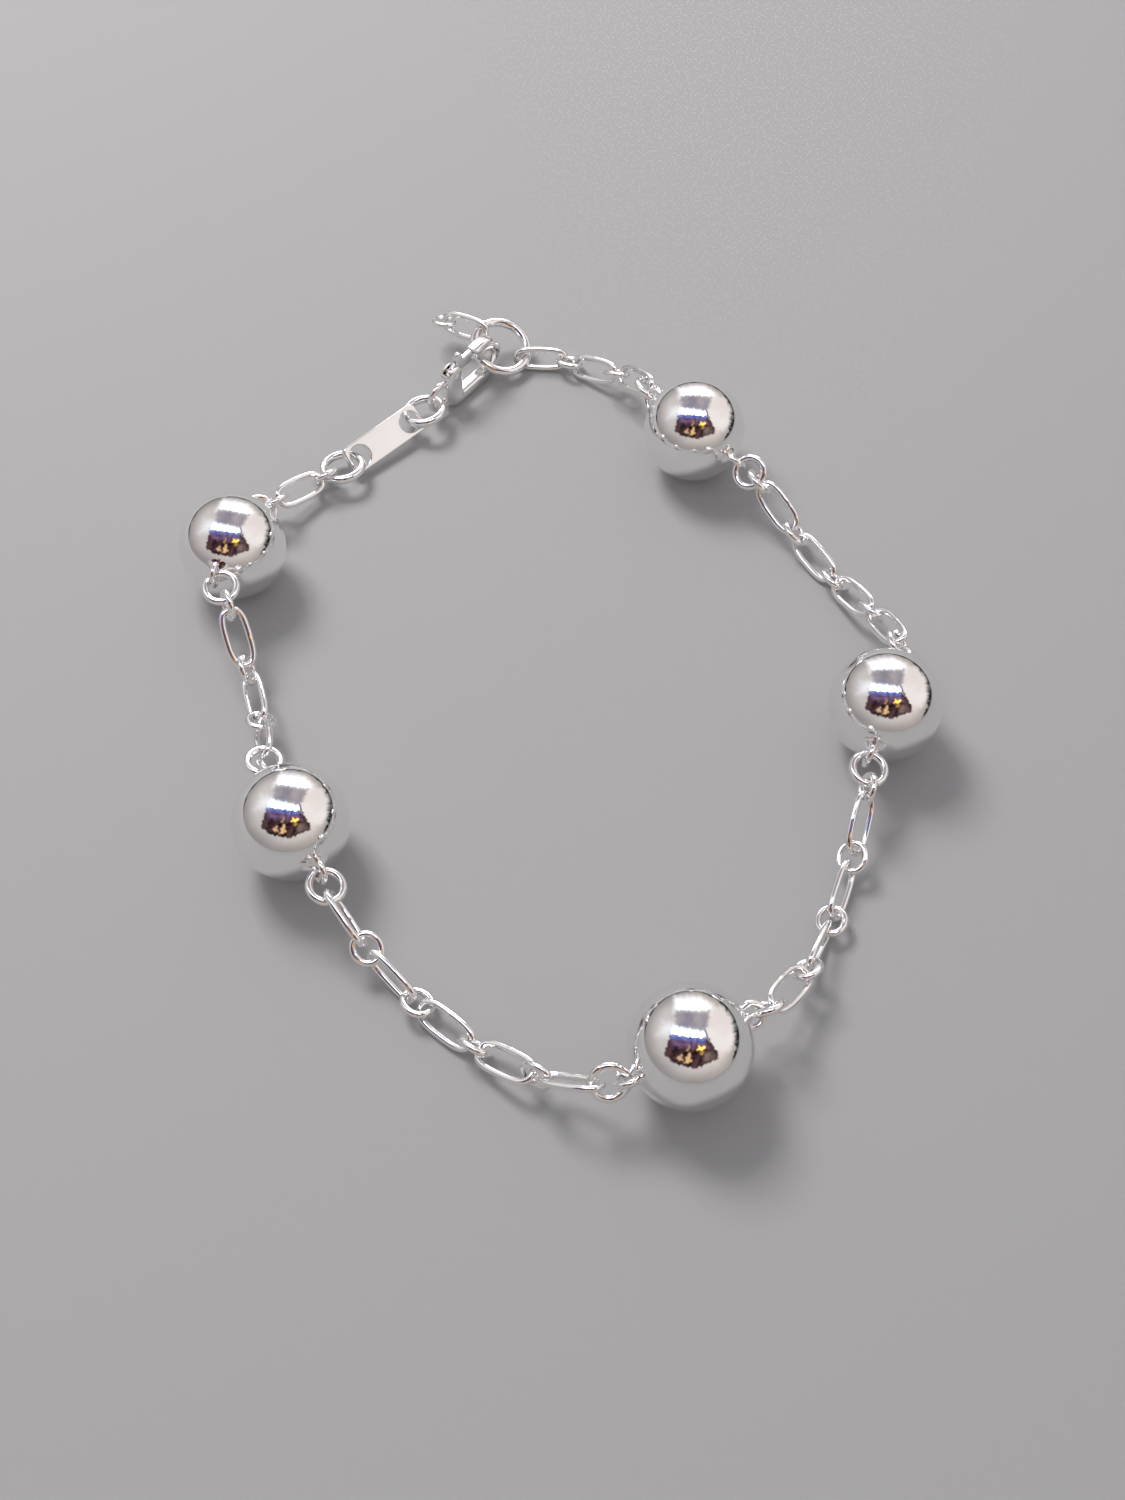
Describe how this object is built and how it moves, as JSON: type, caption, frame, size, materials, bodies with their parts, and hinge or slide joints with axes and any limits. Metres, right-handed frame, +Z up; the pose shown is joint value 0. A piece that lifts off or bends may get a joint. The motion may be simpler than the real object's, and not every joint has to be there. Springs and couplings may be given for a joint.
{
  "type": "beaded chain bracelet",
  "caption": "Beaded chain bracelet: polished balls set between short runs of long and short links, closed by a lobster clasp on a round end ring.",
  "frame": {"origin": "middle of the bracelet's box in plan, on the surface that it lies on", "axes": "+Z up from the surface; +Y from the front of the loop towards the end ring and clasp; +X to the right"},
  "size_m": [0.0552, 0.0714, 0.0079],
  "materials": {
    "silver": "polished sterling silver"
  },
  "bodies": {
    "bracelet": {"bead_1": "silver", "bead_2": "silver", "bead_3": "silver", "bead_4": "silver", "bead_5": "silver", "bead_ring_01": "silver", "bead_ring_02": "silver", "bead_ring_03": "silver", "bead_ring_04": "silver", "bead_ring_05": "silver", "bead_ring_06": "silver", "bead_ring_07": "silver", "bead_ring_08": "silver", "clasp_body": "silver", "end_ring": "silver", "jump_ring_01": "silver", "jump_ring_02": "silver", "long_link_01": "silver", "long_link_02": "silver", "long_link_03": "silver", "long_link_04": "silver", "long_link_05": "silver", "long_link_06": "silver", "long_link_07": "silver", "long_link_08": "silver", "long_link_09": "silver", "long_link_10": "silver", "long_link_11": "silver", "long_link_12": "silver", "long_link_13": "silver", "long_link_14": "silver", "long_link_15": "silver", "long_link_16": "silver", "long_link_17": "silver", "long_link_18": "silver", "long_link_19": "silver", "long_link_20": "silver", "long_link_21": "silver", "short_link_01": "silver", "short_link_02": "silver", "short_link_03": "silver", "short_link_04": "silver", "short_link_05": "silver", "short_link_06": "silver", "short_link_07": "silver", "short_link_08": "silver", "short_link_09": "silver", "short_link_10": "silver", "short_link_11": "silver", "short_link_12": "silver", "short_link_13": "silver", "short_link_14": "silver", "short_link_15": "silver", "short_link_16": "silver", "short_link_17": "silver", "short_link_18": "silver", "short_link_19": "silver", "short_link_20": "silver", "tag": "silver"},
    "lever": {"clasp_lever": "silver"}
  },
  "joints": [
    {"name": "clasp_lever_hinge", "type": "hinge", "parent": "bracelet", "child": "lever", "pos_m": [-0.00797, 0.02768, 0.00315], "axis": [-0.7897, 0.6132, -0.0176], "range_deg": [0, 32], "stiffness_Nm_per_rad": 0.0000003, "springref_deg": -20.05}
  ]
}
